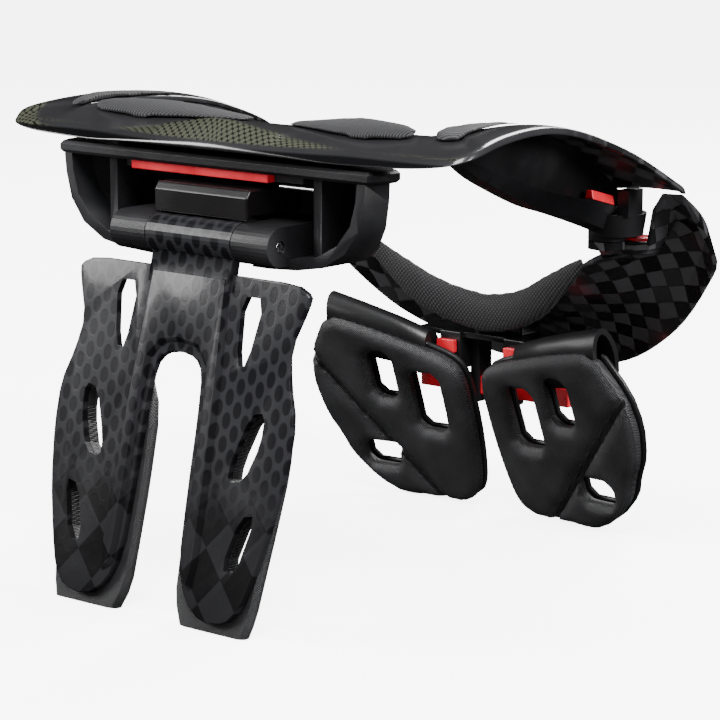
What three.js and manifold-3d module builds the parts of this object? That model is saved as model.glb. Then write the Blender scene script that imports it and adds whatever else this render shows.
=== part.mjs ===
import * as THREE from 'three';
import { mergeVertices } from 'three/addons/utils/BufferGeometryUtils.js';
import Module from 'manifold-3d';

const wasm = await Module();
wasm.setup();

// A motocross neck brace standing on its two back prongs and two chest pads.
// Millimetres, +Z up, the wearer faces -Y, the wearer's left is +X and the floor is z = 0.

// Overall sizes that the moulded shells follow
const halfWidth = 145;
const reach = 160;
const tableHeight = 220;

// Walls and gaps
const shellThickness = 2.6;
const clearance = 0.4;
const crown = 1.6;

// Rear channel frames
const frameWall = 2.6;
const gutterFloor = 4.2;
const closureAcross = 0.683 * halfWidth;
const closureForward = 0.472 * reach;
const closureHeight = 0.7436 * tableHeight;
const frameNose = 8;
const bossRadius = 9.5;
const bossHeight = 11;
const lugThickness = 4;

// Release buttons
const buttonAcross = closureAcross + 10;
const buttonForward = closureForward + 14.5;
const buttonRadius = 7.2;
const buttonTravel = 1.6;
const buttonRingWidth = 3;
const buttonRingDepth = 7;
const buttonFloor = 1;

// Rear housing under the table
const housingHalfWidth = 97;
const housingFront = 74;
const housingBack = 112;
const housingBottom = tableHeight - 54;
const housingTop = tableHeight - 3.6;
const housingFlat = 60;
const housingTaper = 20;
const housingWall = 5;
const housingPlate = 6;
const plateHalfWidth = 103;
const ribAcross = 66;
const ribThickness = 5;

// Hinge of the back strut
const hingeBack = 118;
const hingeHeight = tableHeight - 42;
const barrelRadius = 9.5;
const barrelHalfLength = 27.5;
const lugLength = 23;
const pinRadius = 2.6;

// Back strut
const strutLean = 13.7;
const strutHalfWidth = 76;
const strutLength = hingeHeight / Math.cos(THREE.MathUtils.degToRad(strutLean));
const strutThickness = 3.4;
const reliefHeight = 2.2;
const liningThickness = 6.5;

// Chest pads
const padLean = 20.8;
const padTopForward = 0.5 * reach;
const padTopHeight = tableHeight * 5 / 11;
const padWidth = 108;
const padYaw = 4.5;
const padPivot = 8;
const padLength = 107;
const foamThickness = 9;
const padPlateThickness = 3;
const tubeWall = 3;

// Neck padding
const padRise = 5.5;
const frontPadDepth = 9;

// Bracket between the front shell and the chest pads
const bracketHalfWidth = 46;
const bracketBack = padTopForward + 24;
const bracketFront = padTopForward + 54;
const bracketHeight = padTopHeight - 3.8;
const bracketPlate = 3;
const armLength = 14;
const armBack = padTopForward + 21.6;
const armFront = padTopForward + 32;
const armBottom = padTopHeight - 21;
const legAcross = 8;
const legWidth = 6;
const legBack = padTopForward + 30;
const legFront = padTopForward + 41;
const adjusterHalfWidth = 50;
const adjusterBack = padTopForward + 32;
const adjusterFront = padTopForward + 38.5;
const adjusterBottom = padTopHeight - 35.5;
const adjusterTop = padTopHeight - 25.5;
const adjusterBlock = { width: 12, depth: 2.9, rise: 9, height: 7 };

const materials = {
  carbon: new THREE.MeshStandardMaterial({ color: 0x24262a, roughness: 0.25, metalness: 0.2 }),
  plastic: new THREE.MeshStandardMaterial({ color: 0x1c1c1f, roughness: 0.6, metalness: 0 }),
  rubber: new THREE.MeshStandardMaterial({ color: 0x17171a, roughness: 0.8, metalness: 0 }),
  foam: new THREE.MeshStandardMaterial({ color: 0x2e2e33, roughness: 0.95, metalness: 0 }),
  mesh: new THREE.MeshStandardMaterial({ color: 0x3a3a40, roughness: 0.95, metalness: 0 }),
  red: new THREE.MeshStandardMaterial({ color: 0xd3142c, roughness: 0.35, metalness: 0 }),
  steel: new THREE.MeshStandardMaterial({ color: 0xb9bcc2, roughness: 0.3, metalness: 1 }),
};

const brace = new THREE.Group();

function addMesh(name, body, material) {
  const mesh = new THREE.Mesh(body.isBufferGeometry ? body : toGeometry(body), material);
  mesh.name = name;
  brace.add(mesh);
}

// Closed solids and booleans
function toSolid(geometry) {
  const plain = geometry.index ? geometry.clone() : mergeVertices(geometry);
  for (const attribute of Object.keys(plain.attributes)) {
    if (attribute !== 'position') plain.deleteAttribute(attribute);
  }
  const merged = mergeVertices(plain, 1e-4);
  const vertProperties = Float32Array.from(merged.attributes.position.array);
  const triVerts = Uint32Array.from(merged.index.array);
  return new wasm.Manifold(new wasm.Mesh({ numProp: 3, vertProperties, triVerts }));
}

function toGeometry(body) {
  const mesh = body.getMesh();
  const geometry = new THREE.BufferGeometry();
  geometry.setAttribute('position', new THREE.BufferAttribute(mesh.vertProperties, 3));
  geometry.setIndex(new THREE.BufferAttribute(mesh.triVerts, 1));
  return geometry;
}

function box(x0, x1, y0, y1, z0, z1) {
  const geometry = new THREE.BoxGeometry(x1 - x0, y1 - y0, z1 - z0);
  geometry.translate((x0 + x1) / 2, (y0 + y1) / 2, (z0 + z1) / 2);
  return toSolid(geometry);
}

function upright(x, y, z0, z1, radius, sides = 32) {
  const geometry = new THREE.CylinderGeometry(radius, radius, z1 - z0, sides);
  geometry.rotateX(Math.PI / 2);
  geometry.translate(x, y, (z0 + z1) / 2);
  return toSolid(geometry);
}

function crosswise(x0, x1, y, z, radius, sides = 32) {
  const geometry = new THREE.CylinderGeometry(radius, radius, x1 - x0, sides);
  geometry.rotateZ(Math.PI / 2);
  geometry.translate((x0 + x1) / 2, y, z);
  return toSolid(geometry);
}

// A closed skin over rings of points, with flat caps on the first and last ring
function loft(rings) {
  const count = rings[0].length;
  const positions = rings.flat().flatMap((point) => [point.x, point.y, point.z]);
  const index = [];
  for (let i = 0; i < rings.length - 1; i += 1) {
    for (let j = 0; j < count; j += 1) {
      const a = i * count + j;
      const b = i * count + (j + 1) % count;
      index.push(a, b, b + count, a, b + count, a + count);
    }
  }
  const last = (rings.length - 1) * count;
  for (const [a, b, c] of capFaces(count)) index.push(c, b, a, last + a, last + b, last + c);
  if (signedVolume(positions, index) < 0) index.reverse();
  const geometry = new THREE.BufferGeometry();
  geometry.setAttribute('position', new THREE.BufferAttribute(new Float32Array(positions), 3));
  geometry.setIndex(index);
  return geometry;
}

function signedVolume(positions, index) {
  const corner = (k) => new THREE.Vector3().fromArray(positions, index[k] * 3);
  let total = 0;
  for (let k = 0; k < index.length; k += 3) {
    total += corner(k).dot(corner(k + 1).cross(corner(k + 2)));
  }
  return total;
}

// A cap is a strip of faces between the first and the second half of the ring
function capFaces(count) {
  const faces = [];
  for (let k = 0; k + 1 <= count - 2 - k; k += 1) {
    if (k + 1 < count - 2 - k) faces.push([k, k + 1, count - 2 - k]);
    faces.push([k, count - 2 - k, count - 1 - k]);
  }
  return faces;
}

// Shares of the three overall sizes to a point in millimetres
function place(side, [across, along, up]) {
  return new THREE.Vector3(side * across * halfWidth, along * reach, up * tableHeight);
}

// Rows run from the middle of the brace to its side; each column becomes one smooth rail
// from the wearer's right end to the left end, cut into equal steps between rows.
function rails(rows, stepsPerRow) {
  const columns = rows[0].map((unused, column) => {
    const right = rows.map((row) => place(-1, row[column])).reverse();
    const left = rows.slice(1).map((row) => place(1, row[column]));
    return new THREE.CatmullRomCurve3([...right, ...left], false, 'centripetal');
  });
  const steps = 2 * (rows.length - 1) * stepsPerRow;
  return Array.from({ length: steps + 1 }, (unused, i) => columns.map((rail) => rail.getPoint(i / steps)));
}

function halfRails(side, rows, stepsPerRow) {
  const steps = (rows.length - 1) * stepsPerRow;
  const columns = rows[0].map((unused, column) => (
    new THREE.CatmullRomCurve3(rows.map((row) => place(side, row[column])), false, 'centripetal')
  ));
  return Array.from({ length: steps + 1 }, (unused, i) => columns.map((rail) => rail.getPoint(i / steps)));
}

const up = new THREE.Vector3(0, 0, 1);

function level(from, to) {
  return new THREE.Vector3().subVectors(to, from).projectOnPlane(up).normalize();
}

function shift(point, direction, distance, rise = 0) {
  return point.clone().addScaledVector(direction, distance).addScaledVector(up, rise);
}

function between(from, to, share) {
  return new THREE.Vector3().lerpVectors(from, to, share);
}

// Rear table and arches: columns are the lip's lower edge, the top edge and the neck edge,
// as shares across, along (back is positive) and up.
const rearRows = [
  [[0, 0.738, 1], [0, 0.656, 1.064], [0, 0.375, 1.032]],
  [[0.172, 0.738, 1], [0.172, 0.662, 1.048], [0.193, 0.381, 1.036]],
  [[0.366, 0.731, 0.998], [0.366, 0.675, 1.027], [0.366, 0.412, 1.045]],
  [[0.517, 0.722, 0.995], [0.517, 0.681, 1.011], [0.517, 0.45, 1.048]],
  [[0.655, 0.706, 0.995], [0.655, 0.688, 1.007], [0.648, 0.487, 1.05]],
  [[0.841, 0.691, 0.999], [0.841, 0.675, 1.011], [0.759, 0.5, 1.052]],
  [[0.966, 0.653, 1.008], [0.952, 0.644, 1.02], [0.772, 0.463, 1.052]],
  [[1.007, 0.594, 1.02], [1, 0.588, 1.034], [0.776, 0.412, 1.052]],
  [[0.979, 0.425, 1.036], [0.972, 0.425, 1.052], [0.772, 0.312, 1.052]],
  [[0.938, 0.194, 1.041], [0.931, 0.194, 1.057], [0.759, 0.175, 1.05]],
  [[0.903, 0, 1.025], [0.897, 0, 1.041], [0.745, 0, 1.034]],
  [[0.903, -0.156, 0.995], [0.897, -0.156, 1.011], [0.731, -0.125, 1.011]],
  [[0.938, -0.319, 0.945], [0.931, -0.319, 0.961], [0.717, -0.3, 0.961]],
  [[1.007, -0.475, 0.868], [1, -0.475, 0.884], [0.717, -0.463, 0.877]],
];
const rearSteps = 4;
const archStart = 7;

function rearSection([lip, edge, neck], station) {
  const inward = level(edge, neck);
  const arch = Math.abs(station) > archStart ? 1 : -0.6;
  const middle = shift(between(edge, neck, 0.5), up, crown * arch);
  return {
    lip, edge, middle, neck,
    under: shift(neck, up, -shellThickness),
    underMiddle: shift(middle, up, -shellThickness),
    width: new THREE.Vector3().subVectors(neck, middle).dot(inward),
    inward,
    ring: [
      lip, edge, middle, neck,
      shift(neck, up, -shellThickness),
      shift(middle, up, -shellThickness),
      shift(edge, inward, shellThickness, -shellThickness),
      shift(lip, inward, shellThickness),
    ],
  };
}

const rearHalf = rearRows.length - 1;
const rearSections = rails(rearRows, rearSteps)
  .map((points, i) => rearSection(points, i / rearSteps - rearHalf));

addMesh('rear_shell', loft(rearSections.map((section) => section.ring)), materials.carbon);

// Stations on one side: row 0 is the middle of the brace
function rearStations(side, firstRow, lastRow) {
  const middle = rearHalf * rearSteps;
  const stations = [];
  for (let k = firstRow * rearSteps; k <= lastRow * rearSteps; k += 1) {
    stations.push(rearSections[middle + side * k]);
  }
  return stations;
}

// Channel frame under each arch: columns are the gutter's lower inner edge and its lip
const frameFirstRow = 6;
const frameRows = [
  [[0.717, 0.412, 0.991], [0.786, 0.425, 1.005]],
  [[0.69, 0.35, 0.977], [0.786, 0.362, 0.991]],
  [[0.676, 0.263, 0.943], [0.786, 0.275, 0.968]],
  [[0.676, 0.15, 0.905], [0.786, 0.163, 0.941]],
  [[0.676, 0, 0.861], [0.786, 0.013, 0.905]],
  [[0.676, -0.138, 0.832], [0.786, -0.125, 0.879]],
  [[0.676, -0.3, 0.795], [0.779, -0.294, 0.855]],
  [[0.669, -0.456, 0.757], [0.748, -0.45, 0.825]],
];
const gutterShare = 0.62;
const gutterRise = 0.12;

function frameRing([foot, lip], station) {
  const outward = level(foot, lip);
  const width = new THREE.Vector3().subVectors(lip, foot).dot(outward);
  const rise = lip.z - foot.z;
  const keel = shift(foot, outward, gutterShare * width, gutterRise * rise);
  const top = shift(station.under, up, -clearance);
  const topInside = between(station.under, station.underMiddle, frameWall / station.width);
  return [
    top, foot, keel, lip,
    shift(lip, outward, -frameWall),
    shift(keel, outward, -frameWall / 2, gutterFloor),
    shift(foot, outward, frameWall, gutterFloor),
    shift(topInside, up, -clearance),
  ];
}

function channelFrame(side) {
  const stations = rearStations(side, frameFirstRow, rearHalf);
  const rings = halfRails(side, frameRows, rearSteps).map((points, i) => frameRing(points, stations[i]));
  const last = rings[rings.length - 1];
  const heart = between(last[0], last[3], 0.5);
  rings.push(last.map((point) => (
    new THREE.Vector3().lerpVectors(heart, point, 0.8).add(new THREE.Vector3(0, -frameNose, 0))
  )));
  const bottom = closureHeight + clearance;
  const boss = upright(side * closureAcross, -closureForward, bottom, bottom + bossHeight, bossRadius);
  return toSolid(loft(rings)).add(boss);
}

// Slider that locks each closure, riding on the lip of the gutter between two rail steps
const sliderBackStep = 24;
const sliderFrontStep = 27;
const sliderOverhang = 0.9;
const sliderWidth = 5.2;
const sliderHeight = 4.6;

function closureSlider(side) {
  const lips = halfRails(side, frameRows, rearSteps).map(([, lip]) => lip);
  const outer = Math.abs(lips[sliderFrontStep].x) + sliderOverhang;
  const inner = outer - sliderWidth;
  const rings = [lips[sliderBackStep], lips[sliderFrontStep]].map((lip) => {
    const bottom = lip.z + clearance;
    return [
      new THREE.Vector3(side * inner, lip.y, bottom),
      new THREE.Vector3(side * outer, lip.y, bottom),
      new THREE.Vector3(side * (outer - 1), lip.y, bottom + sliderHeight),
      new THREE.Vector3(side * (inner + 1), lip.y, bottom + sliderHeight),
    ];
  });
  return loft(rings);
}

// The shell lifted by the clearance, which trims everything that lies on it
const shellSpace = toSolid(loft(rearSections.map(({ ring }) => (
  ring.map((point) => shift(point, up, clearance))
))));

// Neck pads on the table and on the arches
function neckPad(side, firstRow, lastRow, inset, startRise, endRise) {
  const stations = rearStations(side, firstRow, lastRow);
  const rings = stations.map((station, i) => {
    const share = i / (stations.length - 1);
    const swell = Math.sin(Math.PI * Math.min(1, 0.12 + share * 0.85));
    const rise = padRise * (startRise + (endRise - startRise) * share) * (0.35 + 0.65 * swell);
    const reachIn = inset * (0.4 + 0.6 * swell);
    const seat = (amount) => shift(between(station.neck, station.middle, amount), up, clearance);
    return [
      seat(0), seat(reachIn * 0.5), seat(reachIn),
      shift(seat(reachIn), up, rise * 0.45),
      shift(seat(reachIn * 0.55), up, rise),
      shift(seat(0), station.inward, 1.5, rise * 0.8),
    ];
  });
  return toSolid(loft(rings)).subtract(shellSpace).simplify(0.02);
}

for (const [name, side] of [['right', -1], ['left', 1]]) {
  addMesh(`channel_frame_${name}`, channelFrame(side), materials.plastic);
  addMesh(`closure_slider_${name}`, closureSlider(side), materials.red);
  addMesh(`rear_pad_${name}`, neckPad(side, 0.5, 4.5, 0.9, 0.7, 1.7), materials.mesh);
  addMesh(`arch_pad_${name}`, neckPad(side, 5.25, 9.75, 0.85, 1.15, 0.35), materials.mesh);
}

// A flat outline with holes, drawn counter-clockwise so that an extrusion turns its holes rightly
function flatShape(points, holes = []) {
  const shape = new THREE.Shape(THREE.ShapeUtils.isClockWise(points) ? [...points].reverse() : points);
  shape.holes = holes;
  return shape;
}

// The same closed outline with every corner cut off
function softened(corners) {
  return corners.flatMap((corner, k) => {
    const next = corners[(k + 1) % corners.length];
    return [corner.clone().lerp(next, 0.22), corner.clone().lerp(next, 0.78)];
  });
}

// Housing under the table: a tub open to the rear, its plate, and two hinge lugs
const housingOutline = [
  [1, 1], [0.99, 0.78], [0.955, 0.5], [0.87, 0.25], [0.73, 0.08], [0.57, 0.02], [0.4, 0],
];

function housingShape(inset) {
  const tall = housingTop - housingPlate - housingBottom - inset;
  const corners = housingOutline.map(([across, rise]) => (
    new THREE.Vector2(across * (housingHalfWidth - inset), housingBottom + inset + rise * tall)
  ));
  const mirrored = corners.map((corner) => new THREE.Vector2(-corner.x, corner.y)).reverse();
  return flatShape([...corners, ...mirrored]);
}

// The housing seen from above: its front face runs back towards both ends
function housingPlan(inset, extra) {
  const front = housingFront + inset;
  const corners = [
    new THREE.Vector2(housingFlat - inset + extra, front),
    new THREE.Vector2(housingHalfWidth - inset + extra, front + housingTaper),
    new THREE.Vector2(housingHalfWidth - inset + extra, hingeBack + 2 * barrelRadius),
  ];
  const mirrored = corners.map((corner) => new THREE.Vector2(-corner.x, corner.y)).reverse();
  const geometry = new THREE.ExtrudeGeometry(flatShape([...corners, ...mirrored]), {
    depth: 2 * tableHeight, bevelEnabled: false,
  });
  return toSolid(geometry);
}

function extrudeBack(shape, y0, y1) {
  const geometry = new THREE.ExtrudeGeometry(shape, { depth: y1 - y0, bevelEnabled: false, curveSegments: 6 });
  geometry.rotateX(Math.PI / 2);
  geometry.translate(0, y1, 0);
  return toSolid(geometry);
}

function rearHousing() {
  const plateBottom = housingTop - housingPlate;
  const plateChamfer = 3;
  const plate = flatShape([
    new THREE.Vector2(-plateHalfWidth + 4, housingBack + 1),
    new THREE.Vector2(-plateHalfWidth, housingBack - 8),
    new THREE.Vector2(-plateHalfWidth, housingFront + housingTaper),
    new THREE.Vector2(-housingFlat, housingFront),
    new THREE.Vector2(housingFlat, housingFront),
    new THREE.Vector2(plateHalfWidth, housingFront + housingTaper),
    new THREE.Vector2(plateHalfWidth, housingBack - 8),
    new THREE.Vector2(plateHalfWidth - 4, housingBack + 1),
  ]);
  const plateGeometry = new THREE.ExtrudeGeometry(plate, {
    depth: housingPlate - plateChamfer, bevelThickness: plateChamfer / 2, bevelSize: plateChamfer / 2,
    bevelOffset: -plateChamfer / 2, bevelSegments: 1,
  });
  plateGeometry.translate(0, 0, plateBottom + plateChamfer / 2);
  let body = extrudeBack(housingShape(0), housingFront, housingBack);
  body = body.subtract(extrudeBack(housingShape(housingWall), housingFront + housingWall, housingBack + 1)
    .intersect(housingPlan(housingWall, 1)));
  const lugEnd = barrelHalfLength + clearance + lugLength;
  for (const side of [-1, 1]) {
    const near = side * (barrelHalfLength + clearance);
    const [x0, x1] = [near, side * lugEnd].sort((a, b) => a - b);
    const lug = crosswise(x0, x1, hingeBack, hingeHeight, barrelRadius)
      .add(box(x0, x1, housingFront + 1, hingeBack, hingeHeight - barrelRadius, hingeHeight + barrelRadius));
    const ribX = side * ribAcross;
    body = body.add(lug);
    body = body.add(box(ribX - ribThickness / 2, ribX + ribThickness / 2, housingFront + 1, housingBack - 3,
      housingBottom + housingWall - 1, plateBottom + 1));
  }
  body = body.intersect(housingPlan(0, 0)).add(toSolid(plateGeometry));
  const notch = barrelHalfLength + clearance;
  body = body.subtract(box(-notch, notch, housingBack - 14, hingeBack + 20, housingBottom - 5, hingeHeight + 12));
  body = body.subtract(crosswise(-lugEnd - 1, lugEnd + 1, hingeBack, hingeHeight, pinRadius + clearance, 20));
  return body.add(housingRiser(plateBottom + 1));
}

// The riser that carries the table on the housing, shaped to the underside of the table
function housingRiser(foot) {
  const rows = 3;
  const stations = [...rearStations(-1, 0, rows).reverse(), ...rearStations(1, 0, rows).slice(1)];
  const rings = stations.map((station) => {
    const front = shift(between(station.neck, station.middle, 0.35), up, -shellThickness - clearance);
    const back = shift(between(station.middle, station.edge, 0.3), up, -shellThickness - 2 * clearance);
    return [
      front, back,
      new THREE.Vector3(back.x, back.y, foot),
      new THREE.Vector3(front.x, Math.max(front.y, housingFront + 1), foot),
    ];
  });
  return toSolid(loft(rings));
}

addMesh('rear_housing', rearHousing(), materials.plastic);

// Wedge that sets the strut's angle, seated on the housing's inner wall over the hinge
const stopHalfWidth = 30;
const stopBottom = hingeHeight + barrelRadius + clearance;
const stopHeight = 14.5;
const stopProfile = [
  [0, 0.15], [0.93, 0.15], [0.97, 0], [1, 0.08], [1, 0.75], [0.93, 1], [0, 1],
];

function angleStop() {
  const seat = housingFront + housingWall + clearance;
  const depth = hingeBack - seat;
  const ring = (x) => stopProfile.map(([back, rise]) => (
    new THREE.Vector3(x, seat + back * depth, stopBottom + rise * stopHeight)
  ));
  return loft([ring(-stopHalfWidth), ring(stopHalfWidth)]);
}

addMesh('angle_stop', angleStop(), materials.plastic);

// Locking bar and its rail under the housing plate
const barHeight = 4.2;
const barTop = housingTop - housingPlate - clearance;
const barBack = housingBack - 3;
const barDepth = 5.4;
const barRight = -35;
const barLeft = 54;
const railOverhang = 9;
const railDepth = 4.5;
addMesh('lock_bar', toGeometry(box(barRight, barLeft, barBack - barDepth, barBack, barTop - barHeight, barTop)),
  materials.red);
addMesh('lock_bar_rail', toGeometry(box(barRight - railOverhang - 8, barLeft + railOverhang,
  barBack - barDepth - clearance - railDepth, barBack - barDepth - clearance, barTop - barHeight, barTop)),
materials.plastic);
const wireRadius = 0.9;
addMesh('lock_wire', toGeometry(crosswise(-ribAcross + ribThickness / 2 + clearance, barRight - 4,
  barBack - 4, barTop - barHeight - wireRadius - clearance, wireRadius, 12)), materials.steel);
addMesh('hinge_pin', toGeometry(crosswise(-barrelHalfLength - lugLength, barrelHalfLength + lugLength,
  hingeBack, hingeHeight, pinRadius, 20)), materials.steel);

// Back strut, drawn flat in its own plane below the hinge and then leaned back
const strutOutline = [
  [0.34, 0.085], [0.85, 0.085], [0.98, 0.108], [0.97, 0.14], [0.875, 0.25], [0.92, 0.34], [1, 0.43],
  [1, 0.55], [0.95, 0.7], [0.87, 0.83], [0.8, 0.92], [0.7, 0.965], [0.5, 0.975], [0.34, 0.93],
  [0.25, 0.84], [0.23, 0.66], [0.22, 0.46], [0.2, 0.345], [0.13, 0.31], [0, 0.3],
];
const strutSlots = [
  [[0.63, 0.135], [0.44, 0.135], [0.48, 0.315], [0.56, 0.31]],
  [[0.77, 0.42], [0.66, 0.43], [0.55, 0.56], [0.55, 0.61], [0.68, 0.6], [0.77, 0.5]],
  [[0.82, 0.68], [0.7, 0.69], [0.6, 0.83], [0.72, 0.84]],
];
const reliefOutline = [
  [0.33, 0.09], [0.37, 0.35], [0.4, 0.6], [0.41, 0.82], [0.38, 0.9], [0.3, 0.88], [0.28, 0.82],
  [0.27, 0.66], [0.26, 0.46], [0.24, 0.33], [0.15, 0.285], [0, 0.275],
];
const liningOutline = [
  [0.56, 0.36], [0.78, 0.37], [0.93, 0.44], [0.95, 0.56], [0.92, 0.7], [0.89, 0.82], [0.86, 0.94],
  [0.8, 1.02], [0.3, 1.02], [0.2, 0.93], [0.19, 0.82], [0.18, 0.66], [0.19, 0.46], [0.3, 0.37],
];

function strutPoint(side, [across, down]) {
  return new THREE.Vector2(side * across * strutHalfWidth, -down * strutLength);
}

function mirroredOutline(outline) {
  const left = outline.map((point) => strutPoint(1, point));
  const right = outline.filter(([across]) => across > 0).map((point) => strutPoint(-1, point)).reverse();
  return [...left, ...right];
}

// Shape in the plane of x and z, its thickness running back from y0 to y1
function panel(shape, y0, y1, bevel = 0) {
  const geometry = new THREE.ExtrudeGeometry(shape, {
    depth: y1 - y0 - 2 * bevel, bevelEnabled: bevel > 0, bevelThickness: bevel, bevelSize: bevel,
    bevelOffset: -bevel, bevelSegments: 1, curveSegments: 4,
  });
  geometry.rotateX(Math.PI / 2);
  geometry.translate(0, y1 - bevel, 0);
  return toSolid(geometry);
}

function leanStrut(body) {
  return body.rotate([strutLean, 0, 0]).translate([0, hingeBack, hingeHeight]);
}

const floor = box(-2 * halfWidth, 2 * halfWidth, -2 * reach, 2 * reach, -tableHeight, 0);

function strut() {
  const half = strutThickness / 2;
  const shape = flatShape(softened(mirroredOutline(strutOutline)));
  const neckHalfWidth = barrelHalfLength - 1.5;
  const body = panel(shape, -half, half, 0.5)
    .add(panel(flatShape(mirroredOutline(reliefOutline)), -half + 1, half + reliefHeight, reliefHeight - 0.2))
    .add(box(-neckHalfWidth, neckHalfWidth, -half, half + reliefHeight - 0.3, -0.13 * strutLength, 0))
    .add(crosswise(-barrelHalfLength, barrelHalfLength, 0, 0, barrelRadius))
    .subtract(crosswise(-barrelHalfLength - 1, barrelHalfLength + 1, 0, 0, pinRadius + clearance, 20));
  return leanStrut(body.subtract(slotCutter(-1)).subtract(slotCutter(1))).subtract(floor);
}

function slotCutter(side) {
  const cutters = strutSlots.map((slot) => (
    panel(flatShape(softened(slot.map((point) => strutPoint(side, point)))), -4 * liningThickness, liningThickness)
  ));
  return cutters.reduce((whole, cutter) => whole.add(cutter));
}

function strutLining(side) {
  const shape = flatShape(softened(liningOutline.map((point) => strutPoint(side, point))));
  const outer = -strutThickness / 2 - clearance;
  const lining = panel(shape, outer - liningThickness, outer, 2).subtract(slotCutter(side));
  return leanStrut(lining).subtract(floor);
}

addMesh('back_strut', strut(), materials.carbon);
addMesh('strut_lining_right', strutLining(-1), materials.foam);
addMesh('strut_lining_left', strutLining(1), materials.foam);

// Front shell: columns run from the neck edge over the lug plane and the crest to the lower edge
const frontRows = [
  [[0, -0.688, 0.536], [0, -0.819, 0.482], [0, -0.887, 0.464], [0, -0.95, 0.427],
    [0, -0.996, 0.377], [0, -1.011, 0.35]],
  [[0.103, -0.681, 0.545], [0.124, -0.812, 0.491], [0.138, -0.875, 0.473], [0.179, -0.938, 0.436],
    [0.207, -0.984, 0.386], [0.214, -0.994, 0.359]],
  [[0.207, -0.662, 0.564], [0.248, -0.781, 0.518], [0.29, -0.838, 0.505], [0.345, -0.894, 0.473],
    [0.414, -0.944, 0.427], [0.428, -0.956, 0.395]],
  [[0.31, -0.637, 0.595], [0.379, -0.744, 0.555], [0.428, -0.787, 0.545], [0.497, -0.838, 0.523],
    [0.572, -0.881, 0.482], [0.607, -0.887, 0.455]],
  [[0.414, -0.613, 0.636], [0.483, -0.7, 0.609], [0.538, -0.738, 0.595], [0.621, -0.787, 0.582],
    [0.724, -0.819, 0.555], [0.745, -0.838, 0.523]],
  [[0.517, -0.588, 0.677], [0.621, -0.675, 0.682], [0.676, -0.7, 0.705], [0.759, -0.731, 0.695],
    [0.855, -0.756, 0.673], [0.897, -0.762, 0.627]],
  [[0.579, -0.562, 0.695], [0.772, -0.631, 0.732], [0.821, -0.644, 0.777], [0.876, -0.656, 0.777],
    [0.966, -0.662, 0.764], [1, -0.669, 0.7]],
  [[0.614, -0.531, 0.705], [0.828, -0.569, 0.739], [0.869, -0.581, 0.814], [0.903, -0.575, 0.823],
    [0.993, -0.575, 0.818], [1.007, -0.575, 0.782]],
  [[0.634, -0.487, 0.727], [0.828, -0.5, 0.739], [0.855, -0.494, 0.823], [0.903, -0.484, 0.864],
    [0.986, -0.484, 0.866], [1.007, -0.487, 0.85]],
];
const frontSteps = 3;

function frontRing(points) {
  const under = points.map((point, k) => {
    const before = points[Math.max(0, k - 1)];
    const after = points[Math.min(points.length - 1, k + 1)];
    const outward = level(points[0], points[points.length - 1]);
    const run = new THREE.Vector3().subVectors(after, before);
    const slope = new THREE.Vector2(run.dot(outward), run.z).normalize();
    return shift(point, outward, slope.y * shellThickness, -slope.x * shellThickness);
  });
  return [...points, ...under.reverse()];
}

const frontGrid = rails(frontRows, frontSteps);

function frontShell() {
  let body = toSolid(loft(frontGrid.map((points) => frontRing(points))));
  for (const side of [-1, 1]) {
    const lug = upright(side * closureAcross, -closureForward, closureHeight - lugThickness, closureHeight, bossRadius);
    const pocket = upright(side * buttonAcross, -buttonForward, closureHeight - 20, closureHeight + 3,
      buttonRadius + buttonRingWidth + clearance);
    const over = upright(side * closureAcross, -closureForward, closureHeight, closureHeight + 10,
      bossRadius + 1.5);
    body = body.add(lug).subtract(over).subtract(pocket);
  }
  return body;
}

addMesh('front_shell', frontShell(), materials.carbon);

// Release buttons: a cup with a collar in the shell, and the red cap that sinks into it
const ringTop = closureHeight;
const ringBottom = ringTop - buttonRingDepth;

function buttonRing(side) {
  const outer = buttonRadius + buttonRingWidth;
  const floorTop = ringBottom + buttonFloor;
  const cup = upright(side * buttonAcross, -buttonForward, ringBottom, ringTop, outer, 32);
  return cup.subtract(upright(side * buttonAcross, -buttonForward, floorTop, ringTop + 1,
    buttonRadius + clearance, 32));
}

function releaseButton(side) {
  const bottom = ringBottom + buttonFloor + buttonTravel + clearance;
  const profile = [
    [0, bottom], [buttonRadius, bottom], [buttonRadius, ringTop + 1], [buttonRadius - 0.8, ringTop + 1.6],
    [0, ringTop + 2],
  ].map(([radius, z]) => new THREE.Vector2(radius, z));
  const geometry = new THREE.LatheGeometry(profile, 32);
  geometry.rotateX(Math.PI / 2);
  geometry.translate(side * buttonAcross, -buttonForward, 0);
  return toSolid(geometry);
}

for (const [name, side] of [['right', -1], ['left', 1]]) {
  addMesh(`button_ring_${name}`, buttonRing(side), materials.plastic);
  addMesh(`release_button_${name}`, releaseButton(side), materials.red);
}

// Pad that wraps the front shell's neck edge on its inner side
function frontPad() {
  const middle = (frontRows.length - 1) * frontSteps;
  const spread = Math.round(5.25 * frontSteps);
  const rings = [];
  for (let i = middle - spread; i <= middle + spread; i += 1) {
    const [neck, second] = frontGrid[i];
    const outward = level(neck, second);
    const fade = Math.min(1, (spread - Math.abs(i - middle)) / (2 * frontSteps));
    const depth = frontPadDepth * (0.35 + 0.65 * fade);
    const tall = 18 * (0.45 + 0.55 * fade);
    const face = shift(neck, outward, -clearance - shellThickness);
    rings.push([
      shift(face, outward, 0, -tall),
      shift(face, outward, 0, tall * 0.1),
      shift(face, outward, -depth * 0.35, tall * 0.3),
      shift(face, outward, -depth * 0.85, tall * 0.05),
      shift(face, outward, -depth, -tall * 0.4),
      shift(face, outward, -depth * 0.6, -tall * 0.95),
    ]);
  }
  return loft(rings);
}

addMesh('front_pad', frontPad(), materials.mesh);

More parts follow.
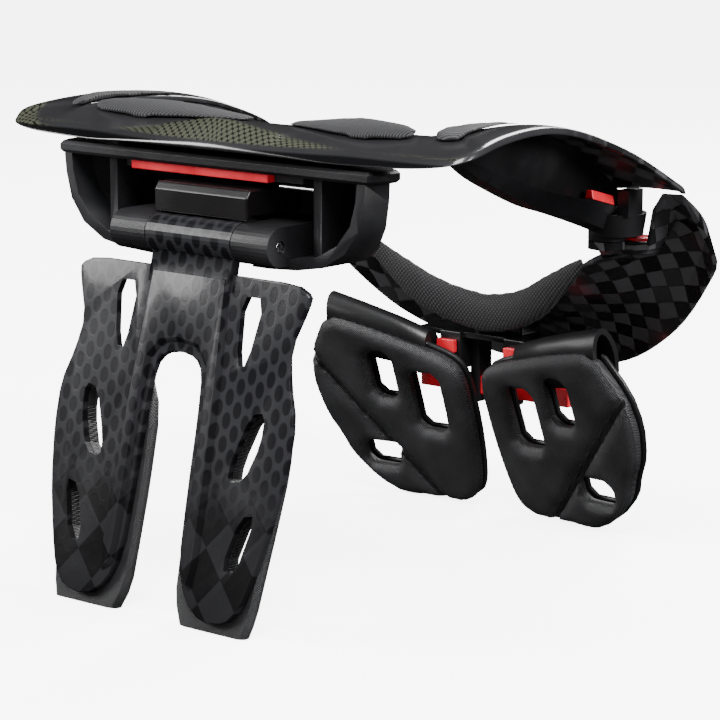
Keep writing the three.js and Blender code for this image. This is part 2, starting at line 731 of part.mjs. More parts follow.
// Chest pads, drawn flat and then leaned forward below the front shell
const padOutline = [
  [0.83, -0.03], [0.97, 0.2], [1, 0.38], [0.965, 0.57], [0.9, 0.69], [0.86, 0.8], [0.72, 0.95],
  [0.55, 1.03], [0.25, 1.03], [0.12, 0.97], [0.08, 0.89], [0.055, 0.74], [0.04, 0.55], [0.04, 0.3],
  [0.06, 0.21], [0.12, 0.15], [0.3, 0.09], [0.6, 0.01],
];
const padWindows = [
  { left: 0.2, right: 0.38, top: 0.25, bottom: 0.59 },
  { left: 0.47, right: 0.62, top: 0.16, bottom: 0.43 },
  { left: 0.55, right: 0.76, top: 0.71, bottom: 0.85 },
];
const grooveEnds = [[1.02, 0.15], [0.28, 1.05]];
const grooveWidth = 3.5;
const grooveDepth = 3.5;

function padPoint(side, [across, down]) {
  return new THREE.Vector2(side * across * padWidth, -down * padLength);
}

function windowPath(side, opening, growth) {
  const { left, right, top, bottom } = opening;
  const corner = 4;
  const x0 = left * padWidth - growth;
  const x1 = right * padWidth + growth;
  const z0 = -bottom * padLength - growth;
  const z1 = -top * padLength + growth;
  const points = [
    [x0 + corner, z0], [x1 - corner, z0], [x1, z0 + corner], [x1, z1 - corner],
    [x1 - corner, z1], [x0 + corner, z1], [x0, z1 - corner], [x0, z0 + corner],
  ];
  return new THREE.Path(points.map(([x, z]) => new THREE.Vector2(side * x, z)));
}

function padShape(side, growth) {
  const centre = padPoint(side, [0.5, 0.5]);
  const points = padOutline.map((point) => {
    const corner = padPoint(side, point);
    const away = new THREE.Vector2().subVectors(corner, centre).normalize();
    return corner.addScaledVector(away, growth);
  });
  return flatShape(softened(points), padWindows.map((opening) => windowPath(side, opening, -growth / 2)));
}

// Leaned forward, and turned so that the outer edge lies further back
function leanPad(side, body) {
  return body.rotate([-padLean, 0, 0]).translate([-side * padPivot, 0, 0])
    .rotate([0, 0, side * padYaw]).translate([side * padPivot, -padTopForward, padTopHeight]);
}

// Oval tube along the top of each pad, in the pad's own plane
const tubeSetback = 14;
const tubeRows = [
  { across: 0.83, down: 0.055, depth: 9.5, height: 17.5 },
  { across: 0.643, down: 0.093, depth: 9.2, height: 16.5 },
  { across: 0.455, down: 0.13, depth: 8.6, height: 14.8 },
  { across: 0.268, down: 0.169, depth: 7.6, height: 12 },
];

function tube(side, growth, rows = tubeRows) {
  const sides = 20;
  const rings = rows.map(({ across, down, depth, height }) => (
    Array.from({ length: sides }, (unused, k) => {
      const angle = (2 * Math.PI * k) / sides;
      return new THREE.Vector3(
        side * across * padWidth,
        Math.cos(angle) * (depth + growth) - tubeSetback,
        Math.sin(angle) * (height + growth) - down * padLength,
      );
    })
  ));
  return toSolid(loft(rings));
}

function chestFrame(side) {
  const outer = -foamThickness - clearance;
  const plate = panel(padShape(side, 0), outer - padPlateThickness, outer, 0.8);
  const [mouth, ...others] = tubeRows.slice(0, 3);
  const bore = tube(side, -tubeWall, [{ ...mouth, across: mouth.across + 0.01 }, ...others]);
  return leanPad(side, plate.add(tube(side, 0)).subtract(bore)).subtract(floor);
}

function chestFoam(side) {
  const [start, end] = grooveEnds.map((point) => padPoint(side, point));
  const run = new THREE.Vector2().subVectors(end, start);
  const cut = new THREE.BoxGeometry(run.length(), 2 * grooveDepth, grooveWidth);
  cut.rotateY(-run.angle());
  cut.translate((start.x + end.x) / 2, 0, (start.y + end.y) / 2);
  const foam = panel(padShape(side, -0.5), -foamThickness, 0, 1.5).subtract(toSolid(cut));
  return leanPad(side, foam.subtract(tube(side, clearance))).subtract(floor);
}

for (const [name, side] of [['right', -1], ['left', 1]]) {
  addMesh(`chest_frame_${name}`, chestFrame(side), materials.rubber);
  addMesh(`chest_foam_${name}`, chestFoam(side), materials.foam);
}

// Bracket below the front shell that carries both chest frames, with its red adjusters
function bracket() {
  const top = bracketHeight + bracketPlate;
  const tubeEnd = tubeRows[tubeRows.length - 1];
  const armEnd = tubeEnd.across * padWidth - clearance;
  let body = box(-bracketHalfWidth, bracketHalfWidth, -bracketFront, -bracketBack, bracketHeight, top)
    .add(bracketPost(bracketHeight + 1));
  for (const side of [-1, 1]) {
    const [x0, x1] = [side * (armEnd - armLength), side * armEnd].sort((a, b) => a - b);
    const [l0, l1] = [side * legAcross, side * (legAcross + legWidth)].sort((a, b) => a - b);
    body = body.add(box(x0, x1, -armFront, -armBack, armBottom, top))
      .add(box(l0, l1, -legFront, -legBack, adjusterBottom - 4, top))
      .subtract(leanPad(side, tube(side, clearance)));
  }
  return body.subtract(adjusterBar(clearance));
}

// Post that carries the bracket, shaped to the underside of the front shell
function bracketPost(foot) {
  const middle = (frontRows.length - 1) * frontSteps;
  const drop = -1.35 * shellThickness - clearance;
  const rings = frontGrid.slice(middle - frontSteps, middle + frontSteps + 1).map(([neck, second]) => {
    const back = shift(between(neck, second, 0.35), up, drop);
    const front = shift(between(neck, second, 0.9), up, drop);
    return [
      back, front,
      new THREE.Vector3(front.x, front.y, foot),
      new THREE.Vector3(back.x, back.y, foot),
    ];
  });
  return toSolid(loft(rings));
}

addMesh('chest_bracket', bracket(), materials.plastic);

function adjusterBar(growth) {
  return box(-adjusterHalfWidth - growth, adjusterHalfWidth + growth,
    -adjusterFront - growth, -adjusterBack + growth, adjusterBottom - growth, adjusterTop + growth);
}

addMesh('adjuster_bar', adjusterBar(0), materials.red);

for (const [name, side] of [['right', -1], ['left', 1]]) {
  const { width, depth, rise, height } = adjusterBlock;
  const outer = tubeRows[tubeRows.length - 1].across * padWidth - clearance;
  const front = -armBack + clearance;
  const [x0, x1] = [side * (outer - width), side * outer].sort((a, b) => a - b);
  addMesh(`adjuster_block_${name}`, box(x0, x1, front, front + depth, armBottom + rise, armBottom + rise + height),
    materials.red);
}

export default brace;
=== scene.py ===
import math

import bmesh
import bpy
from mathutils import Matrix, Vector
from mathutils.bvhtree import BVHTree


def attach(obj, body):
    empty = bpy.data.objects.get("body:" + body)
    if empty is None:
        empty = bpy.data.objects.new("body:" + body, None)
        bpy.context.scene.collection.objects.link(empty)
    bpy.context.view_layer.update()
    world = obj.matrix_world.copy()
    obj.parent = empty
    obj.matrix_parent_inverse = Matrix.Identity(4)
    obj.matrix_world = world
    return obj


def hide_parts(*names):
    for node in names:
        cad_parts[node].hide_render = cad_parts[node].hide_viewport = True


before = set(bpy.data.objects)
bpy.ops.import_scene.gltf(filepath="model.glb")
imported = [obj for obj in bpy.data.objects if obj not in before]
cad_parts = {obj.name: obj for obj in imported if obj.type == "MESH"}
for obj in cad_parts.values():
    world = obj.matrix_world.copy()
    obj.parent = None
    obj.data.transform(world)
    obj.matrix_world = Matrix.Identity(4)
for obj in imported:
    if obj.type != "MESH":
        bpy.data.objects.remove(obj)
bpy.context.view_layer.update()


# The viewpoint: behind the brace and to its right, a little above its table. The lens is
# long, so the brace keeps almost parallel edges.
target = Vector((0, 0, 0.101))
azimuth, elevation, distance = math.radians(220), math.radians(11), 1.5
toward_camera = Vector((
    math.sin(azimuth) * math.cos(elevation),
    -math.cos(azimuth) * math.cos(elevation),
    math.sin(elevation),
))
camera = bpy.data.objects.new("camera", bpy.data.cameras.new("camera"))
camera.data.lens = 147
camera.data.sensor_width = 36
camera.data.clip_end = 50
camera.location = target + distance * toward_camera
camera.rotation_euler = toward_camera.to_track_quat("Z", "Y").to_euler()
bpy.context.collection.objects.link(camera)
bpy.context.scene.camera = camera


# Surface patterns are written as sums and products of sockets. A Field is one such socket,
# and each operator on it adds its Math node.
class Field:
    def __init__(self, finish, socket):
        self.finish, self.socket = finish, socket

    def math(self, operation, *others):
        return self.finish.node("ShaderNodeMath", {"operation": operation}, dict(enumerate((self, *others))))

    def __add__(self, other):
        return self.math("ADD", other)

    __radd__ = __add__

    def __mul__(self, other):
        return self.math("MULTIPLY", other)

    __rmul__ = __mul__

    def __sub__(self, other):
        return self.math("SUBTRACT", other)

    def __rsub__(self, other):
        return (self * -1) + other

    def __truediv__(self, other):
        return self.math("DIVIDE", other)


# A Finish is one material: a Principled shader with its plain numbers on its own sockets,
# and nodes for whatever varies over the surface.
class Finish:
    def __init__(self, name, **plain):
        self.material = bpy.data.materials.new(name)
        self.material.use_nodes = True
        self.tree = self.material.node_tree
        self.shader = self.tree.nodes["Principled BSDF"]
        for socket, value in plain.items():
            self.shader.inputs[socket.replace("_", " ")].default_value = value

    def node(self, kind, settings=None, sockets=None, output=0):
        made = self.tree.nodes.new(kind)
        for name, value in (settings or {}).items():
            setattr(made, name, value)
        for name, value in (sockets or {}).items():
            if isinstance(value, Field):
                self.tree.links.new(value.socket, made.inputs[name])
            else:
                made.inputs[name].default_value = value
        return Field(self, made.outputs[output])

    def place(self, source="Object"):
        return self.node("ShaderNodeTexCoord", output=source)

    def split(self, place):
        parts = self.node("ShaderNodeSeparateXYZ", None, {0: place}).socket.node
        return [Field(self, part) for part in parts.outputs]

    def cloth_place(self):
        return self.split(self.place("UV"))[:2]

    def join(self, x, y, z=0.0):
        return self.node("ShaderNodeCombineXYZ", None, {0: x, 1: y, 2: z})

    def noise(self, where, scale, detail=3.0):
        return self.node("ShaderNodeTexNoise", None, {"Vector": where, "Scale": scale, "Detail": detail})

    def spread(self, value, low, high, out_low=0.0, out_high=1.0):
        return self.node("ShaderNodeMapRange", {"clamp": True, "interpolation_type": "SMOOTHSTEP"},
                         {0: value, 1: low, 2: high, 3: out_low, 4: out_high})

    def blend(self, mask, *colours):
        first, second = [tint if isinstance(tint, Field) else (*tint, 1) for tint in colours]
        return self.node("ShaderNodeMix", {"data_type": "RGBA"}, {0: mask, 6: first, 7: second}, output=2)

    def feed(self, socket, value):
        self.tree.links.new(value.socket, self.shader.inputs[socket])

    def relief(self, height, depth):
        self.feed("Normal", self.node("ShaderNodeBump", None, {"Height": height, "Strength": 1.0, "Distance": depth}))


def subdivided(piece, levels):
    smooth = piece.modifiers.new("smooth", "SUBSURF")
    smooth.levels = smooth.render_levels = levels


# Every piece starts as a copy of its solid: welded, its hard edges rounded and its skin
# shaded smooth. With levels it is subdivided instead, and creases hold its hard edges.
def carried(node, body, finish, edge=0.0006, angle=32, levels=0):
    weld, sliver = 0.00001, 0.00002
    flat, square = math.radians(25), math.radians(60)
    hard, creased, hold = math.radians(angle), math.radians(angle + 8), 0.75
    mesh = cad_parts[node].data.copy()
    mesh.materials.clear()
    piece = bpy.data.objects.new(node + "_finished", mesh)
    bpy.context.collection.objects.link(piece)
    made = bmesh.new()
    made.from_mesh(mesh)
    bmesh.ops.remove_doubles(made, verts=made.verts, dist=weld)
    bmesh.ops.dissolve_degenerate(made, edges=made.edges, dist=sliver)
    if levels:
        bmesh.ops.join_triangles(made, faces=made.faces, angle_face_threshold=flat, angle_shape_threshold=square)
        crease = made.edges.layers.float.new("crease_edge")
        for rim in made.edges:
            if len(rim.link_faces) == 2 and rim.calc_face_angle() > creased:
                rim[crease] = hold
    bmesh.ops.recalc_face_normals(made, faces=made.faces)
    made.to_mesh(mesh)
    made.free()
    mesh.shade_smooth()
    if levels:
        subdivided(piece, levels)
    else:
        mesh.set_sharp_from_angle(angle=hard)
        if edge:
            bevel = piece.modifiers.new("edges", "BEVEL")
            bevel.width = edge
            bevel.segments = 2
            bevel.limit_method = "ANGLE"
            bevel.angle_limit = hard
            bevel.harden_normals = True
    mesh.materials.append(finish.material)
    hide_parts(node)
    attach(piece, body)
    return piece


# Rear shell: the moulded carbon table behind the neck and its two arches, one lay-up from
# closure to closure. Its cloth follows a line along the shell, given here for the left half
# in millimetres: U runs along that line and V across it, outwards, both in metres.
def lay_cloth(piece, half_line):
    half = [Vector(point) / 1000 for point in half_line]
    line = [Vector((-point.x, point.y, point.z)) for point in reversed(half[1:])] + half
    lengths = [0.0]
    for start, end in zip(line, line[1:]):
        lengths.append(lengths[-1] + (end - start).length)

    def laid(point):
        spots = []
        for start, end, before in zip(line, line[1:], lengths):
            run = end - start
            share = max(0.0, min(1.0, (point - start).dot(run) / run.length_squared))
            gap = (point - start - share * run).length
            spots.append((gap, before + share * run.length, start + share * run))
        gap, along, nearest = min(spots, key=lambda spot: spot[0])
        return along, gap if point.xy.length > nearest.xy.length else -gap

    mesh = piece.data
    places = [laid(vertex.co) for vertex in mesh.vertices]
    cloth = mesh.uv_layers.new(name="cloth")
    for loop in mesh.loops:
        cloth.data[loop.index].uv = places[loop.vertex_index]


# Spread-tow cloth is flat tapes woven as diamonds. This gives the place along and across
# the tapes, which tape lies on top, and a chance number for each crossing.
def woven(finish, u, v, tape):
    diagonal = tape * 1.414
    along, across = (u + v) / diagonal, (u - v) / diagonal
    column, row = along.math("FLOOR"), across.math("FLOOR")
    parity = ((column + row) / 2).math("FRACT") * 2
    chance = finish.node("ShaderNodeTexWhiteNoise", {"noise_dimensions": "2D"},
                         {"Vector": finish.join(column, row)})
    return along, across, parity, chance


# The finer weave of the table and the strut shows as staggered rows of ovals: this is
# their mask.
def ovals(finish, u, v, width, height, size, narrow=1.0, flatten=0.72):
    columns, rows = u / width, v / height

    def oval(shift):
        x = (columns + shift).math("FRACT") - 0.5
        y = (rows + shift).math("FRACT") - 0.5
        return (x * x * narrow + y * y * flatten).math("SQRT")

    near = oval(0.0).math("MINIMUM", oval(0.5))
    return 1 - finish.spread(near, size * 0.75, size)


# The rear band shows a fine olive scale weave, the arches in front wide black tapes, and
# the wings between them a plain satin black.
def rear_shell_finish():
    finish = Finish("rear_shell_carbon", Roughness=0.32, Coat_Weight=0.55, Coat_Roughness=0.12,
                    Specular_IOR_Level=0.35)
    where = finish.place()
    x, y, z = finish.split(where)
    u, v = finish.cloth_place()
    tape, scale_width, scale_height, scale_size = 0.0096, 0.0042, 0.0036, 0.34
    parity, chance = woven(finish, u, v, tape)[2:]
    tapes = finish.blend(finish.spread(parity * 0.5 + chance * 0.5, 0.1, 1.0),
                         (0.0034, 0.0034, 0.0038), (0.028, 0.028, 0.03))
    wings = finish.blend(finish.noise(where, 30.0), (0.013, 0.013, 0.014), (0.024, 0.024, 0.026))
    arches = finish.spread(y, -0.02, 0.01, 1.0, 0.0)
    scales = ovals(finish, u, v, scale_width, scale_height, scale_size)
    olive = finish.blend(scales, (0.006, 0.0065, 0.005), (0.05, 0.053, 0.038))
    # The scales lie on the rear wall between its top edge and the lip. They also run round
    # the far corner, on the far side only: there they are a painted sheen, where the weave
    # catches the light.
    wall = finish.spread(y, 0.098, 0.104) * finish.spread(z, 0.2235, 0.2245)
    # Painted sheen: the scales shown on the far corner only, where the weave catches the light
    far_corner_sheen = finish.spread(x, 0.07, 0.09) * finish.spread(y, 0.05, 0.06) * finish.spread(v, 0.012, 0.016)
    band = wall.math("MAXIMUM", far_corner_sheen)
    # Painted shade: the lip is tape carbon, painted near-black below the wall's scales
    lip_shade = finish.spread(z, 0.2215, 0.2225, 1.0, 0.0) * finish.spread(y, 0.095, 0.1)
    tint = finish.blend(band, finish.blend(arches, wings, tapes), olive)
    finish.feed("Base Color", finish.blend(lip_shade, tint, (0.0025, 0.0025, 0.003)))
    finish.relief(scales * band * 0.4, 0.0002)
    return finish


rear_shell = carried("rear_shell", "rear", rear_shell_finish(), levels=2)
lay_cloth(rear_shell, [
    (0, 88, 230), (50, 92, 228), (90, 97, 226), (115, 94, 227), (125, 84, 229), (127, 60, 231),
    (123, 30, 232), (119, 0, 228), (118, -23, 222), (120, -50, 211), (125, -76, 194),
])


# Front shell: the second carbon half, which swings open at a closure. Its tapes run as
# diamonds over the whole crescent, each a little lighter or darker, under a clear coat.
def front_shell_finish():
    rough, tape, strands_per_metre = 0.3, 0.0096, 2600
    finish = Finish("front_shell_carbon", Roughness=rough, Coat_Weight=0.5, Coat_Roughness=0.14,
                    Specular_IOR_Level=0.3)
    u, v = finish.cloth_place()
    along, across, parity, chance = woven(finish, u, v, tape)
    edge_u = (along.math("FRACT") - 0.5).math("ABSOLUTE") * 2
    edge_v = (across.math("FRACT") - 0.5).math("ABSOLUTE") * 2
    seam = finish.spread(edge_u.math("MAXIMUM", edge_v), 0.9, 0.99)
    drift = finish.noise(finish.join(u, v), 24.0)
    tone = finish.spread(parity * 0.45 + chance * 0.4 + drift * 0.25, 0.15, 1.0)
    tint = finish.blend(tone, (0.0048, 0.0048, 0.0053), (0.039, 0.039, 0.0415))
    finish.feed("Base Color", finish.blend(seam * 0.55, tint, (0.0015, 0.0015, 0.0018)))
    finish.feed("Roughness", finish.spread(chance, 0.0, 1.0, rough - 0.07, rough + 0.1))
    first_way = ((u + v) * strands_per_metre).math("SINE")
    second_way = ((u - v) * strands_per_metre).math("SINE")
    strands = first_way * parity + second_way * (1 - parity)
    finish.relief(strands * 0.06 - seam * 0.5, 0.0002)
    return finish


front_shell = carried("front_shell", "front", front_shell_finish(), angle=24)
lay_cloth(front_shell, [
    (0, -148, 99), (22, -146, 100), (46, -138, 108), (66, -130, 118), (84, -122, 130),
    (104, -113, 152), (118, -103, 170), (126, -79, 182),
])


# Gutters: the black channel moulded under each arch, satin, with the fine spark-eroded
# grain of its tool.
def moulded(name, dark, light, rough, grain=0.00006):
    finish = Finish(name, Roughness=rough, Specular_IOR_Level=0.42)
    where = finish.place()
    cloud = finish.noise(where, 22.0, 4.0)
    speck = finish.noise(where, 1500.0, 2.0)
    finish.feed("Base Color", finish.blend(finish.spread(cloud, 0.3, 0.7), dark, light))
    finish.feed("Roughness", finish.spread(cloud, 0.25, 0.75, rough - 0.05, rough + 0.08))
    finish.relief(speck, grain)
    return finish


# Each gutter ends in a round cup about the closure's axis, with a short web up to the arch.
def closure_cup(piece, sign):
    cup_centre, cup_depth, foot_radius, rim_radius = (sign * 0.1045, -0.0772, 0.1728), 0.0112, 0.0128, 0.0146
    web_centre, web_size = (sign * 0.1146, -0.0732, 0.1845), (0.0068, 0.0125, 0.0135)
    made = bmesh.new()
    made.from_mesh(piece.data)
    bmesh.ops.create_cone(made, cap_ends=True, segments=48, radius1=foot_radius, radius2=rim_radius,
                          depth=cup_depth, matrix=Matrix.Translation(cup_centre))
    bmesh.ops.create_cube(made, size=1, matrix=Matrix.Translation(web_centre) @ Matrix.Diagonal((*web_size, 1)))
    made.to_mesh(piece.data)
    made.free()
    piece.data.set_sharp_from_angle(angle=math.radians(40))


gutter_finish = moulded("gutter_plastic", (0.003, 0.003, 0.0035), (0.009, 0.009, 0.0102), 0.34, grain=0.00003)
for side, sign in (("right", -1), ("left", 1)):
    closure_cup(carried("channel_frame_" + side, "rear", gutter_finish, angle=40, edge=0.0009), sign)


# Rear housing: the glass-filled nylon tub screwed under the table, with the strut's hinge
# lugs moulded on. Its grain is the coarsest of the black parts.
housing_finish = moulded("housing_plastic", (0.0045, 0.0045, 0.0055), (0.012, 0.012, 0.0138), 0.48, grain=0.00014)
carried("rear_housing", "rear", housing_finish, edge=0.0009)


# Angle stop: a separate moulded wedge, clipped in over the barrel, which sets how far the
# strut leans.
stop_finish = moulded("angle_stop_plastic", (0.004, 0.0032, 0.0036), (0.009, 0.0076, 0.0082), 0.38)
carried("angle_stop", "rear", stop_finish, edge=0.0016)


# Rail: the grey moulded strip on the housing that the locking bar slides along.
rail_finish = moulded("rail_plastic", (0.02, 0.02, 0.022), (0.036, 0.036, 0.039), 0.36)
carried("lock_bar_rail", "rear", rail_finish)


# Red parts: the locking bar, the closures' sliders and push buttons and the adjusters, all
# what a hand works. They are moulded in glossy nylon.
def red_nylon():
    rough = 0.28
    finish = Finish("red_nylon", Roughness=rough, Specular_IOR_Level=0.5, Coat_Weight=0.25, Coat_Roughness=0.15)
    where = finish.place()
    cloud = finish.noise(where, 60.0)
    finish.feed("Base Color", finish.blend(finish.spread(cloud, 0.3, 0.7), (0.56, 0.008, 0.02), (0.72, 0.02, 0.032)))
    finish.feed("Roughness", finish.spread(cloud, 0.3, 0.7, rough - 0.04, rough + 0.08))
    finish.relief(finish.noise(where, 900.0, 2.0), 0.00003)
    return finish


red_finish = red_nylon()
carried("lock_bar", "lock", red_finish)
for side in ("right", "left"):
    carried("closure_slider_" + side, "slider_" + side, red_finish)
for side in ("right", "left"):
    carried("release_button_" + side, "button_" + side, red_finish, angle=25)
for node in ("adjuster_bar", "adjuster_block_right", "adjuster_block_left"):
    carried(node, "front", red_finish)


# Steel: the drawn hinge pin through the lugs and the spring wire of the locking bar. Their
# drawing marks run along X.
def drawn_steel():
    finish = Finish("drawn_steel", Metallic=1.0, Roughness=0.3)
    x, y, z = finish.split(finish.place())
    streak = finish.noise(finish.join(x * 30, y * 900, z * 900), 1.0, 2.0)
    finish.feed("Base Color", finish.blend(streak, (0.42, 0.42, 0.44), (0.62, 0.62, 0.64)))
    finish.feed("Roughness", finish.spread(streak, 0.3, 0.7, 0.22, 0.4))
    return finish


steel_finish = drawn_steel()
carried("hinge_pin", "rear", steel_finish)
carried("lock_wire", "rear", steel_finish)


# Back strut: a moulded carbon fork with a raised middle panel. Its printed weave is rows of
# dark ovals at the top, giving way to wide tapes on the prongs.
def strut_carbon():
    finish = Finish("strut_carbon", Roughness=0.4, Coat_Weight=0.12, Coat_Roughness=0.12, Specular_IOR_Level=0.16)
    where = finish.place()
    x, _, z = finish.split(where)
    oval_width, oval_height, oval_size, tape, tapes_end, ovals_start = 0.0118, 0.0108, 0.35, 0.0165, 0.05, 0.1
    dots = ovals(finish, x, z, oval_width, oval_height, oval_size, narrow=2.0)
    upper = finish.blend(dots, (0.0165, 0.0165, 0.0188), (0.0034, 0.0034, 0.0046))
    parity, chance = woven(finish, x, z * 0.9, tape)[2:]
    lower = finish.blend(finish.spread(parity * 0.6 + chance * 0.4, 0.1, 1.0),
                         (0.003, 0.003, 0.0034), (0.0125, 0.0125, 0.014))
    height = finish.spread(z + finish.noise(where, 40.0) * 0.02, tapes_end, ovals_start)
    worn = finish.noise(where, 14.0)
    tint = finish.blend(height, lower, upper)
    finish.feed("Base Color", finish.blend(worn * 0.2, tint, (0.012, 0.012, 0.0135)))
    finish.feed("Roughness", finish.spread(worn, 0.3, 0.7, 0.3, 0.44))
    finish.relief(dots * -0.3, 0.0001)
    return finish


carried("back_strut", "strut", strut_carbon(), edge=0.0007)


# Chest frames: the rim plate of each chest pad with its oval tube, in smooth black rubber.
# The buttons' collars and the bracket between the pads are moulded like the gutters.
def smooth_rubber():
    finish = Finish("smooth_rubber", Roughness=0.36, Specular_IOR_Level=0.55)
    where = finish.place()
    cloud = finish.noise(where, 18.0)
    finish.feed("Base Color", finish.blend(cloud, (0.0035, 0.0035, 0.004), (0.0085, 0.0085, 0.0095)))
    finish.feed("Roughness", finish.spread(cloud, 0.3, 0.7, 0.32, 0.42))
    finish.relief(finish.noise(where, 700.0, 2.0), 0.00005)
    return finish


rubber_finish = smooth_rubber()
for side in ("right", "left"):
    carried("chest_frame_" + side, "front", rubber_finish, edge=0.001)
    carried("button_ring_" + side, "front", gutter_finish, edge=0.0008)
carried("chest_bracket", "front", gutter_finish, edge=0.0008)


# Chest foams and strut linings: closed-cell foam moulded with a fine upright rib pressed
# into its face, and glued to the frames and to the strut.
def ribbed_foam(name, pitch):
    finish = Finish(name, Roughness=0.5, Specular_IOR_Level=0.5)
    where = finish.place()
    x, _, z = finish.split(where)
    rib = (x * (math.tau / pitch)).math("SINE")
    cross = (z * (math.tau / (pitch * 1.3))).math("SINE")
    cloud = finish.noise(where, 40.0, 4.0)
    tint = finish.blend(finish.spread(cloud, 0.3, 0.7), (0.017, 0.017, 0.0187), (0.028, 0.028, 0.0305))
    # Painted shade: the rib grooves, which the relief below sinks, are darkened
    finish.feed("Base Color", finish.blend(finish.spread(rib * cross, -0.4, 0.8), tint, (0.004, 0.004, 0.0045)))
    finish.feed("Roughness", finish.spread(cloud, 0.3, 0.7, 0.42, 0.54))
    finish.relief(rib * cross * -0.5 + cloud * 0.5, 0.00022)
    return finish


def applied(piece):
    graph = bpy.context.evaluated_depsgraph_get()
    mesh = bpy.data.meshes.new_from_object(piece.evaluated_get(graph))
    piece.modifiers.clear()
    piece.data = mesh


def remeshed(piece, voxel):
    grid = piece.modifiers.new("grid", "REMESH")
    grid.mode = "VOXEL"
    grid.voxel_size = voxel
    applied(piece)


def smoothed(mesh, turns):
    made = bmesh.new()
    made.from_mesh(mesh)
    for _ in range(turns):
        bmesh.ops.smooth_vert(made, verts=made.verts, factor=0.5, use_axis_x=True, use_axis_y=True, use_axis_z=True)
    made.to_mesh(mesh)
    made.free()
    mesh.shade_smooth()


# The pressed foam has rolled edges: its face sinks towards its outline, its windows and the
# groove. The face looks back and down, along the normal that the pad's lean and turn give it.
def rolled(node, finish, face):
    reach, depth, voxel = 0.0065, 0.0026, 0.0011
    side_limit, face_limit = 0.6, 0.25
    piece = carried(node, "front", finish, edge=0.0016)
    solid = bmesh.new()
    solid.from_mesh(piece.data)
    walls = [wall for wall in solid.faces if abs(wall.normal.dot(face)) < side_limit]
    corners = [vertex.co.copy() for wall in walls for vertex in wall.verts]
    outline = BVHTree.FromPolygons(corners, [(k, k + 1, k + 2) for k in range(0, len(corners), 3)])
    solid.free()
    piece.modifiers.clear()
    remeshed(piece, voxel)
    for vertex in piece.data.vertices:
        if vertex.normal.dot(face) > face_limit:
            gap = outline.find_nearest(vertex.co)[3]
            vertex.co -= face * depth * (1 - min(1.0, gap / reach)) ** 2
    smoothed(piece.data, 4)


foam_finish = ribbed_foam("ribbed_foam", 0.0011)
lining_finish = ribbed_foam("lining_foam", 0.0009)
pad_lean, pad_turn = math.radians(20.8), math.radians(4.5)
for side, sign in (("right", -1), ("left", 1)):
    pad_face = Vector((
        -sign * math.sin(pad_turn) * math.cos(pad_lean),
        math.cos(pad_turn) * math.cos(pad_lean),
        -math.sin(pad_lean),
    ))
    rolled("chest_foam_" + side, foam_finish, pad_face)
    lining = carried("strut_lining_" + side, "strut", lining_finish, edge=0.0012)


# Neck pads: foam under a knitted spacer mesh, stuck along the neck edge of both shells. The
# front pad's knit has small hexagonal eyes, and the rear pads have slanting ribs pressed in.
def knitted(name, ribs):
    finish = Finish(name, Roughness=0.66, Specular_IOR_Level=0.3, Sheen_Weight=0.06, Sheen_Roughness=0.5)
    where = finish.place()
    x, y, z = finish.split(where)
    rib_pitch, eye_width, eye_height, eye_size = 0.0013, 0.0021, 0.0023, 0.36
    cloud = finish.noise(where, 50.0)
    if ribs:
        rib = ((x * 0.75 - y * 0.66) * (math.tau / rib_pitch)).math("SINE")
        shaded_hollows = finish.spread(rib, -0.2, 0.9)
        finish.relief(rib * -0.8, 0.00026)
    else:
        shaded_hollows = ovals(finish, x * 0.9 + y * 0.3, z * 0.9 - y * 0.5, eye_width, eye_height, eye_size)
        finish.relief(shaded_hollows * -0.8, 0.0003)
    yarn = finish.blend(cloud, (0.024, 0.024, 0.026), (0.04, 0.04, 0.043))
    # Painted shade: the rib grooves and the knit's eyes, which the relief sinks, are darkened
    finish.feed("Base Color", finish.blend(shaded_hollows, yarn, (0.0045, 0.0045, 0.005)))
    return finish


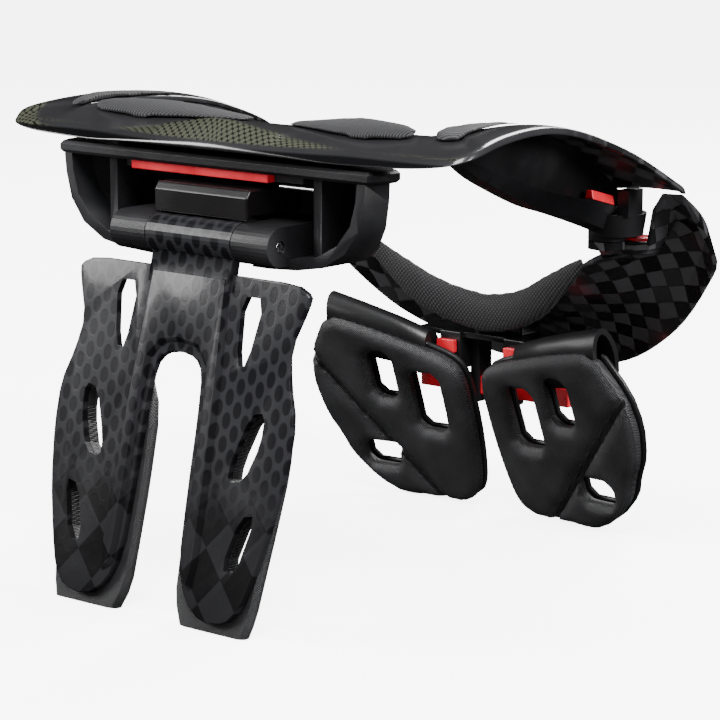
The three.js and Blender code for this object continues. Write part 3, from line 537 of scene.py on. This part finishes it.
# A pad is remeshed and swollen by a short cloth run. Points on its seat stay where they are,
# and no other point moves further than the cap.
def swollen(node, body, finish, on_seat):
    cap, voxel, pressure, steps = 0.0018, 0.0016, 4, 20
    piece = carried(node, body, finish, edge=0, levels=1)
    remeshed(piece, voxel)
    start = [vertex.co.copy() for vertex in piece.data.vertices]
    seat = piece.vertex_groups.new(name="seat")
    seat.add([vertex.index for vertex in piece.data.vertices if on_seat(vertex)], 1.0, "REPLACE")
    cloth = piece.modifiers.new("cloth", "CLOTH")
    cloth.settings.vertex_group_mass = "seat"
    cloth.settings.use_pressure = True
    cloth.settings.uniform_pressure_force = pressure
    cloth.settings.effector_weights.gravity = 0
    cloth.point_cache.frame_start = 1
    cloth.point_cache.frame_end = steps
    for step in range(1, steps + 1):
        bpy.context.scene.frame_set(step)
    applied(piece)
    bpy.context.scene.frame_set(1)
    for vertex, place in zip(piece.data.vertices, start):
        move = vertex.co - place
        if move.length > cap:
            vertex.co = place + move * (cap / move.length)
    smoothed(piece.data, 12)
    subdivided(piece, 1)


rib_finish = knitted("ribbed_knit", True)
knit_finish = knitted("spacer_knit", False)
for side in ("right", "left"):
    for node in ("rear_pad_", "arch_pad_"):
        swollen(node + side, "rear", rib_finish, lambda vertex: vertex.normal.z < -0.2)
swollen("front_pad", "front", knit_finish, lambda vertex: vertex.normal.xy.dot(vertex.co.xy) > 0)


# The studio: a pale paper floor under a white sky, and four soft round lamps, the strongest
# from above and behind. The floor glows evenly and throws nothing back on the brace.
sheet = bmesh.new()
bmesh.ops.create_grid(sheet, x_segments=1, y_segments=1, size=6)
floor_mesh = bpy.data.meshes.new("floor")
sheet.to_mesh(floor_mesh)
sheet.free()
paper = Finish("floor_paper", Roughness=0.9, Base_Color=(0.9, 0.9, 0.9, 1), Emission_Color=(1, 1, 1, 1),
               Emission_Strength=5.0)
floor_mesh.materials.append(paper.material)
floor = bpy.data.objects.new("floor", floor_mesh)
bpy.context.collection.objects.link(floor)
floor.visible_glossy = False
floor.visible_diffuse = False

world = bpy.data.worlds.new("studio")
world.use_nodes = True
sky = world.node_tree.nodes["Background"]
sky.inputs["Color"].default_value = (1, 1, 1, 1)
sky.inputs["Strength"].default_value = 1.1
bpy.context.scene.world = world
world.cycles_visibility.glossy = False

brace_middle = Vector((0, 0, 0.15))
for name, place, size, power in (
    ("key", (-0.7, 0.9, 1.9), 1.0, 70),
    ("side", (-1.7, -0.2, 0.8), 0.6, 44),
    ("rim", (1.4, 1.1, 0.9), 0.8, 40),
    ("front", (0.2, -1.6, 1.3), 0.9, 40),
):
    lamp = bpy.data.lights.new(name, "AREA")
    lamp.shape = "DISK"
    lamp.size = size
    lamp.energy = power
    holder = bpy.data.objects.new(name, lamp)
    holder.location = place
    holder.rotation_euler = (Vector(place) - brace_middle).to_track_quat("Z", "Y").to_euler()
    bpy.context.collection.objects.link(holder)
